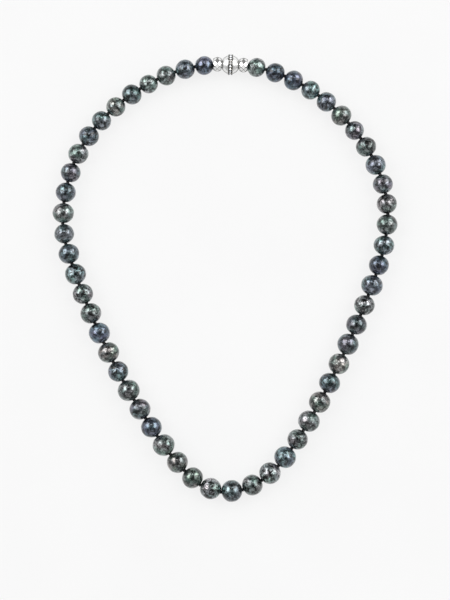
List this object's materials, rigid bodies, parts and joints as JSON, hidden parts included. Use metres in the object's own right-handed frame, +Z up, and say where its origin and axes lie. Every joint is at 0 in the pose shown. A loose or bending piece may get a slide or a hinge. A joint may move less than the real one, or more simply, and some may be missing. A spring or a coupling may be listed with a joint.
{
  "type": "pearl necklace",
  "caption": "Princess-length strand of dark nacre pearls, hand-knotted on silk, laid in a loop and closed by a magnetic ball clasp with a pave ring.",
  "frame": {"origin": "middle of the laid-out necklace, on the surface that it lies on", "axes": "+Z up from the surface; +Y towards the clasp; +X to the right seen from above with the clasp at the far end"},
  "size_m": [0.1352, 0.176, 0.0084],
  "materials": {
    "nacre_navy": "dark nacre with a navy overtone, high lustre, satin orange-peel skin",
    "nacre_blue": "dark nacre with a blue overtone, high lustre, satin orange-peel skin",
    "nacre_green": "dark nacre with a green overtone, high lustre, satin orange-peel skin",
    "nacre_grey": "dark nacre with a grey overtone, high lustre, satin orange-peel skin",
    "nacre_teal": "dark nacre with a teal overtone, high lustre, satin orange-peel skin",
    "nacre_aubergine": "dark nacre with a aubergine overtone, high lustre, satin orange-peel skin",
    "nacre_bronze": "dark nacre with a bronze overtone, high lustre, satin orange-peel skin",
    "silk": "twisted black silk cord, knotted",
    "polished_metal": "rhodium-bright polished white metal",
    "pave_metal": "darkened white metal, beaded rims",
    "crystal": "small round faceted white stones",
    "magnet": "nickel-plated magnet disc"
  },
  "bodies": {
    "pearl_28": {"pearl_28": "nacre_teal", "silk_thread": "silk"},
    "pearl_27": {"pearl_27": "nacre_grey"},
    "pearl_26": {"pearl_26": "nacre_bronze"},
    "pearl_25": {"pearl_25": "nacre_bronze"},
    "pearl_24": {"pearl_24": "nacre_green"},
    "pearl_23": {"pearl_23": "nacre_navy"},
    "pearl_22": {"pearl_22": "nacre_aubergine"},
    "pearl_21": {"pearl_21": "nacre_green"},
    "pearl_20": {"pearl_20": "nacre_blue"},
    "pearl_19": {"pearl_19": "nacre_bronze"},
    "pearl_18": {"pearl_18": "nacre_navy"},
    "pearl_17": {"pearl_17": "nacre_grey"},
    "pearl_16": {"pearl_16": "nacre_grey"},
    "pearl_15": {"pearl_15": "nacre_teal"},
    "pearl_14": {"pearl_14": "nacre_blue"},
    "pearl_13": {"pearl_13": "nacre_teal"},
    "pearl_12": {"pearl_12": "nacre_green"},
    "pearl_11": {"pearl_11": "nacre_blue"},
    "pearl_10": {"pearl_10": "nacre_aubergine"},
    "pearl_09": {"pearl_09": "nacre_grey"},
    "pearl_08": {"pearl_08": "nacre_blue"},
    "pearl_07": {"pearl_07": "nacre_teal"},
    "pearl_06": {"pearl_06": "nacre_bronze"},
    "pearl_05": {"pearl_05": "nacre_teal"},
    "pearl_04": {"pearl_04": "nacre_grey"},
    "pearl_03": {"pearl_03": "nacre_green"},
    "pearl_02": {"pearl_02": "nacre_blue"},
    "pearl_01": {"pearl_01": "nacre_navy"},
    "cap_left": {"clasp_cap_left": "polished_metal"},
    "clasp_left": {"clasp_half_left": "polished_metal", "clasp_pave_ring": "pave_metal"},
    "pearl_29": {"pearl_29": "nacre_green"},
    "pearl_30": {"pearl_30": "nacre_grey"},
    "pearl_31": {"pearl_31": "nacre_blue"},
    "pearl_32": {"pearl_32": "nacre_grey"},
    "pearl_33": {"pearl_33": "nacre_grey"},
    "pearl_34": {"pearl_34": "nacre_bronze"},
    "pearl_35": {"pearl_35": "nacre_blue"},
    "pearl_36": {"pearl_36": "nacre_bronze"},
    "pearl_37": {"pearl_37": "nacre_aubergine"},
    "pearl_38": {"pearl_38": "nacre_aubergine"},
    "pearl_39": {"pearl_39": "nacre_green"},
    "pearl_40": {"pearl_40": "nacre_blue"},
    "pearl_41": {"pearl_41": "nacre_navy"},
    "pearl_42": {"pearl_42": "nacre_teal"},
    "pearl_43": {"pearl_43": "nacre_green"},
    "pearl_44": {"pearl_44": "nacre_grey"},
    "pearl_45": {"pearl_45": "nacre_aubergine"},
    "pearl_46": {"pearl_46": "nacre_blue"},
    "pearl_47": {"pearl_47": "nacre_green"},
    "pearl_48": {"pearl_48": "nacre_aubergine"},
    "pearl_49": {"pearl_49": "nacre_bronze"},
    "pearl_50": {"pearl_50": "nacre_blue"},
    "pearl_51": {"pearl_51": "nacre_teal"},
    "pearl_52": {"pearl_52": "nacre_navy"},
    "pearl_53": {"pearl_53": "nacre_navy"},
    "pearl_54": {"pearl_54": "nacre_grey"},
    "cap_right": {"clasp_cap_right": "polished_metal"},
    "clasp_right": {"clasp_half_right": "polished_metal"}
  },
  "joints": [
    {"name": "knot_27", "type": "hinge", "parent": "pearl_28", "child": "pearl_27", "pos_m": [-0.00161, -0.08456, 0.00418], "axis": [0, 0, 1], "range_deg": [0, 30.68], "deforming": ["silk_thread"]},
    {"name": "knot_26", "type": "hinge", "parent": "pearl_27", "child": "pearl_26", "pos_m": [-0.00978, -0.08167, 0.00411], "axis": [0, 0, 1], "range_deg": [0, 27.72], "deforming": ["silk_thread"]},
    {"name": "knot_25", "type": "hinge", "parent": "pearl_26", "child": "pearl_25", "pos_m": [-0.01598, -0.07605, 0.00408], "axis": [0, 0, 1], "range_deg": [0, 11.9], "deforming": ["silk_thread"]},
    {"name": "knot_24", "type": "hinge", "parent": "pearl_25", "child": "pearl_24", "pos_m": [-0.02162, -0.06955, 0.00416], "axis": [0, 0, 1], "range_deg": [0, 10.24], "deforming": ["silk_thread"]},
    {"name": "knot_23", "type": "hinge", "parent": "pearl_24", "child": "pearl_23", "pos_m": [-0.02672, -0.06245, 0.00411], "axis": [0, 0, 1], "range_deg": [0, 7.53], "deforming": ["silk_thread"]},
    {"name": "knot_22", "type": "hinge", "parent": "pearl_23", "child": "pearl_22", "pos_m": [-0.03132, -0.05542, 0.00405], "axis": [0, 0, 1], "range_deg": [0, 6.27], "deforming": ["silk_thread"]},
    {"name": "knot_21", "type": "hinge", "parent": "pearl_22", "child": "pearl_21", "pos_m": [-0.03581, -0.0482, 0.00413], "axis": [0, 0, 1], "range_deg": [0, 6.89], "deforming": ["silk_thread"]},
    {"name": "knot_20", "type": "hinge", "parent": "pearl_21", "child": "pearl_20", "pos_m": [-0.04017, -0.04066, 0.00409], "axis": [0, 0, 1], "range_deg": [0, 7.25], "deforming": ["silk_thread"]},
    {"name": "knot_19", "type": "hinge", "parent": "pearl_20", "child": "pearl_19", "pos_m": [-0.04407, -0.03326, 0.00401], "axis": [0, 0, 1], "range_deg": [0, 6.81], "deforming": ["silk_thread"]},
    {"name": "knot_18", "type": "hinge", "parent": "pearl_19", "child": "pearl_18", "pos_m": [-0.04774, -0.02573, 0.00408], "axis": [0, 0, 1], "range_deg": [0, 6.43], "deforming": ["silk_thread"]},
    {"name": "knot_17", "type": "hinge", "parent": "pearl_18", "child": "pearl_17", "pos_m": [-0.05132, -0.01788, 0.00406], "axis": [0, 0, 1], "range_deg": [0, 6.5], "deforming": ["silk_thread"]},
    {"name": "knot_16", "type": "hinge", "parent": "pearl_17", "child": "pearl_16", "pos_m": [-0.05458, -0.01022, 0.00396], "axis": [0, 0, 1], "range_deg": [0, 6.91], "deforming": ["silk_thread"]},
    {"name": "knot_15", "type": "hinge", "parent": "pearl_16", "child": "pearl_15", "pos_m": [-0.05754, -0.00256, 0.00401], "axis": [0, 0, 1], "range_deg": [0, 6.77], "deforming": ["silk_thread"]},
    {"name": "knot_14", "type": "hinge", "parent": "pearl_15", "child": "pearl_14", "pos_m": [-0.06036, 0.00547, 0.00401], "axis": [0, 0, 1], "range_deg": [0, 6.82], "deforming": ["silk_thread"]},
    {"name": "knot_13", "type": "hinge", "parent": "pearl_14", "child": "pearl_13", "pos_m": [-0.06284, 0.01333, 0.0039], "axis": [0, 0, 1], "range_deg": [0, 14.2], "deforming": ["silk_thread"]},
    {"name": "knot_12", "type": "hinge", "parent": "pearl_13", "child": "pearl_12", "pos_m": [-0.06401, 0.02129, 0.00393], "axis": [0, 0, 1], "range_deg": [0, 16.32], "deforming": ["silk_thread"]},
    {"name": "knot_11", "type": "hinge", "parent": "pearl_12", "child": "pearl_11", "pos_m": [-0.06358, 0.02962, 0.00396], "axis": [0, 0, 1], "range_deg": [0, 12.64], "deforming": ["silk_thread"]},
    {"name": "knot_10", "type": "hinge", "parent": "pearl_11", "child": "pearl_10", "pos_m": [-0.06207, 0.03764, 0.00384], "axis": [0, 0, 1], "range_deg": [0, 12.11], "deforming": ["silk_thread"]},
    {"name": "knot_09", "type": "hinge", "parent": "pearl_10", "child": "pearl_09", "pos_m": [-0.05967, 0.04516, 0.00384], "axis": [0, 0, 1], "range_deg": [0, 13.79], "deforming": ["silk_thread"]},
    {"name": "knot_08", "type": "hinge", "parent": "pearl_09", "child": "pearl_08", "pos_m": [-0.05603, 0.05246, 0.00389], "axis": [0, 0, 1], "range_deg": [0, 13.88], "deforming": ["silk_thread"]},
    {"name": "knot_07", "type": "hinge", "parent": "pearl_08", "child": "pearl_07", "pos_m": [-0.05135, 0.05904, 0.00378], "axis": [0, 0, 1], "range_deg": [0, 12.31], "deforming": ["silk_thread"]},
    {"name": "knot_06", "type": "hinge", "parent": "pearl_07", "child": "pearl_06", "pos_m": [-0.0461, 0.06473, 0.00376], "axis": [0, 0, 1], "range_deg": [0, 11.46], "deforming": ["silk_thread"]},
    {"name": "knot_05", "type": "hinge", "parent": "pearl_06", "child": "pearl_05", "pos_m": [-0.04006, 0.06994, 0.00382], "axis": [0, 0, 1], "range_deg": [0, 11.1], "deforming": ["silk_thread"]},
    {"name": "knot_04", "type": "hinge", "parent": "pearl_05", "child": "pearl_04", "pos_m": [-0.0335, 0.0745, 0.00373], "axis": [0, 0, 1], "range_deg": [0, 10.72], "deforming": ["silk_thread"]},
    {"name": "knot_03", "type": "hinge", "parent": "pearl_04", "child": "pearl_03", "pos_m": [-0.02684, 0.07819, 0.00368], "axis": [0, 0, 1], "range_deg": [0, 11.73], "deforming": ["silk_thread"]},
    {"name": "knot_02", "type": "hinge", "parent": "pearl_03", "child": "pearl_02", "pos_m": [-0.01963, 0.08114, 0.00375], "axis": [0, 0, 1], "range_deg": [0, 12.73], "deforming": ["silk_thread"]},
    {"name": "knot_01", "type": "hinge", "parent": "pearl_02", "child": "pearl_01", "pos_m": [-0.01198, 0.08313, 0.00369], "axis": [0, 0, 1], "range_deg": [0, 11.79], "deforming": ["silk_thread"]},
    {"name": "knot_00", "type": "hinge", "parent": "pearl_01", "child": "cap_left", "pos_m": [-0.00451, 0.08415, 0.00382], "axis": [0, 0, 1], "range_deg": [0, 14.55], "deforming": ["silk_thread"]},
    {"name": "knot_28", "type": "hinge", "parent": "pearl_28", "child": "pearl_29", "pos_m": [0.00696, -0.08361, 0.00409], "axis": [0, 0, -1], "range_deg": [0, 25.45], "deforming": ["silk_thread"]},
    {"name": "knot_29", "type": "hinge", "parent": "pearl_29", "child": "pearl_30", "pos_m": [0.01443, -0.07985, 0.00409], "axis": [0, 0, -1], "range_deg": [0, 19.36], "deforming": ["silk_thread"]},
    {"name": "knot_30", "type": "hinge", "parent": "pearl_30", "child": "pearl_31", "pos_m": [0.02096, -0.07416, 0.00417], "axis": [0, 0, -1], "range_deg": [0, 16.65], "deforming": ["silk_thread"]},
    {"name": "knot_31", "type": "hinge", "parent": "pearl_31", "child": "pearl_32", "pos_m": [0.02622, -0.06724, 0.00409], "axis": [0, 0, -1], "range_deg": [0, 9.16], "deforming": ["silk_thread"]},
    {"name": "knot_32", "type": "hinge", "parent": "pearl_32", "child": "pearl_33", "pos_m": [0.03079, -0.06024, 0.00406], "axis": [0, 0, -1], "range_deg": [0, 7.31], "deforming": ["silk_thread"]},
    {"name": "knot_33", "type": "hinge", "parent": "pearl_33", "child": "pearl_34", "pos_m": [0.03518, -0.05287, 0.00414], "axis": [0, 0, -1], "range_deg": [0, 7.72], "deforming": ["silk_thread"]},
    {"name": "knot_34", "type": "hinge", "parent": "pearl_34", "child": "pearl_35", "pos_m": [0.03927, -0.04521, 0.00407], "axis": [0, 0, -1], "range_deg": [0, 6.47], "deforming": ["silk_thread"]},
    {"name": "knot_35", "type": "hinge", "parent": "pearl_35", "child": "pearl_36", "pos_m": [0.043, -0.03778, 0.00402], "axis": [0, 0, -1], "range_deg": [0, 6.01], "deforming": ["silk_thread"]},
    {"name": "knot_36", "type": "hinge", "parent": "pearl_36", "child": "pearl_37", "pos_m": [0.04665, -0.03016, 0.00409], "axis": [0, 0, -1], "range_deg": [0, 6.34], "deforming": ["silk_thread"]},
    {"name": "knot_37", "type": "hinge", "parent": "pearl_37", "child": "pearl_38", "pos_m": [0.05019, -0.0223, 0.00404], "axis": [0, 0, -1], "range_deg": [0, 6.49], "deforming": ["silk_thread"]},
    {"name": "knot_38", "type": "hinge", "parent": "pearl_38", "child": "pearl_39", "pos_m": [0.05339, -0.01469, 0.00396], "axis": [0, 0, -1], "range_deg": [0, 6.4], "deforming": ["silk_thread"]},
    {"name": "knot_39", "type": "hinge", "parent": "pearl_39", "child": "pearl_40", "pos_m": [0.0564, -0.00698, 0.00402], "axis": [0, 0, -1], "range_deg": [0, 5.86], "deforming": ["silk_thread"]},
    {"name": "knot_40", "type": "hinge", "parent": "pearl_40", "child": "pearl_41", "pos_m": [0.05939, 0.001, 0.004], "axis": [0, 0, -1], "range_deg": [0, 8.14], "deforming": ["silk_thread"]},
    {"name": "knot_41", "type": "hinge", "parent": "pearl_41", "child": "pearl_42", "pos_m": [0.06183, 0.0088, 0.0039], "axis": [0, 0, -1], "range_deg": [0, 10.98], "deforming": ["silk_thread"]},
    {"name": "knot_42", "type": "hinge", "parent": "pearl_42", "child": "pearl_43", "pos_m": [0.06343, 0.01674, 0.00395], "axis": [0, 0, -1], "range_deg": [0, 11.48], "deforming": ["silk_thread"]},
    {"name": "knot_43", "type": "hinge", "parent": "pearl_43", "child": "pearl_44", "pos_m": [0.06415, 0.02508, 0.00394], "axis": [0, 0, -1], "range_deg": [0, 16.03], "deforming": ["silk_thread"]},
    {"name": "knot_44", "type": "hinge", "parent": "pearl_44", "child": "pearl_45", "pos_m": [0.06329, 0.03312, 0.00383], "axis": [0, 0, -1], "range_deg": [0, 15.39], "deforming": ["silk_thread"]},
    {"name": "knot_45", "type": "hinge", "parent": "pearl_45", "child": "pearl_46", "pos_m": [0.06104, 0.04071, 0.00386], "axis": [0, 0, -1], "range_deg": [0, 12.83], "deforming": ["silk_thread"]},
    {"name": "knot_46", "type": "hinge", "parent": "pearl_46", "child": "pearl_47", "pos_m": [0.05766, 0.04819, 0.00388], "axis": [0, 0, -1], "range_deg": [0, 12.45], "deforming": ["silk_thread"]},
    {"name": "knot_47", "type": "hinge", "parent": "pearl_47", "child": "pearl_48", "pos_m": [0.05344, 0.055, 0.00377], "axis": [0, 0, -1], "range_deg": [0, 11.94], "deforming": ["silk_thread"]},
    {"name": "knot_48", "type": "hinge", "parent": "pearl_48", "child": "pearl_49", "pos_m": [0.04859, 0.06105, 0.00377], "axis": [0, 0, -1], "range_deg": [0, 10.74], "deforming": ["silk_thread"]},
    {"name": "knot_49", "type": "hinge", "parent": "pearl_49", "child": "pearl_50", "pos_m": [0.04296, 0.06678, 0.00382], "axis": [0, 0, -1], "range_deg": [0, 10.95], "deforming": ["silk_thread"]},
    {"name": "knot_50", "type": "hinge", "parent": "pearl_50", "child": "pearl_51", "pos_m": [0.03685, 0.07183, 0.00371], "axis": [0, 0, -1], "range_deg": [0, 11.39], "deforming": ["silk_thread"]},
    {"name": "knot_51", "type": "hinge", "parent": "pearl_51", "child": "pearl_52", "pos_m": [0.03049, 0.076, 0.00369], "axis": [0, 0, -1], "range_deg": [0, 11.8], "deforming": ["silk_thread"]},
    {"name": "knot_52", "type": "hinge", "parent": "pearl_52", "child": "pearl_53", "pos_m": [0.02345, 0.0795, 0.00376], "axis": [0, 0, -1], "range_deg": [0, 12.01], "deforming": ["silk_thread"]},
    {"name": "knot_53", "type": "hinge", "parent": "pearl_53", "child": "pearl_54", "pos_m": [0.01604, 0.0821, 0.00367], "axis": [0, 0, -1], "range_deg": [0, 11.89], "deforming": ["silk_thread"]},
    {"name": "knot_54", "type": "hinge", "parent": "pearl_54", "child": "cap_right", "pos_m": [0.00871, 0.08373, 0.00382], "axis": [0, 0, -1], "range_deg": [0, 15.71], "deforming": ["silk_thread"]},
    {"name": "clasp_swivel_left", "type": "hinge", "parent": "cap_left", "child": "clasp_left", "pos_m": [0.0021, 0.08394, 0.00405], "axis": [0.9995, -0.0314, 0], "continuous": true, "deforming": ["silk_thread"]},
    {"name": "clasp_swivel_right", "type": "hinge", "parent": "cap_right", "child": "clasp_right", "pos_m": [0.0021, 0.08394, 0.00405], "axis": [0.9995, -0.0314, 0], "continuous": true, "deforming": ["silk_thread"]}
  ],
  "couplings": [
    {"joint": "knot_00", "follows": "knot_12", "ratio": 0.89142},
    {"joint": "knot_01", "follows": "knot_12", "ratio": 0.7223},
    {"joint": "knot_02", "follows": "knot_12", "ratio": 0.7799},
    {"joint": "knot_03", "follows": "knot_12", "ratio": 0.71862},
    {"joint": "knot_04", "follows": "knot_12", "ratio": 0.65674},
    {"joint": "knot_05", "follows": "knot_12", "ratio": 0.68002},
    {"joint": "knot_06", "follows": "knot_12", "ratio": 0.70208},
    {"joint": "knot_07", "follows": "knot_12", "ratio": 0.75416},
    {"joint": "knot_47", "follows": "knot_43", "ratio": 0.74472},
    {"joint": "knot_48", "follows": "knot_43", "ratio": 0.66986},
    {"joint": "knot_49", "follows": "knot_43", "ratio": 0.68296},
    {"joint": "knot_50", "follows": "knot_43", "ratio": 0.71041},
    {"joint": "knot_51", "follows": "knot_43", "ratio": 0.73599},
    {"joint": "knot_52", "follows": "knot_43", "ratio": 0.74909},
    {"joint": "knot_53", "follows": "knot_43", "ratio": 0.7416},
    {"joint": "knot_54", "follows": "knot_43", "ratio": 0.97991}
  ]
}
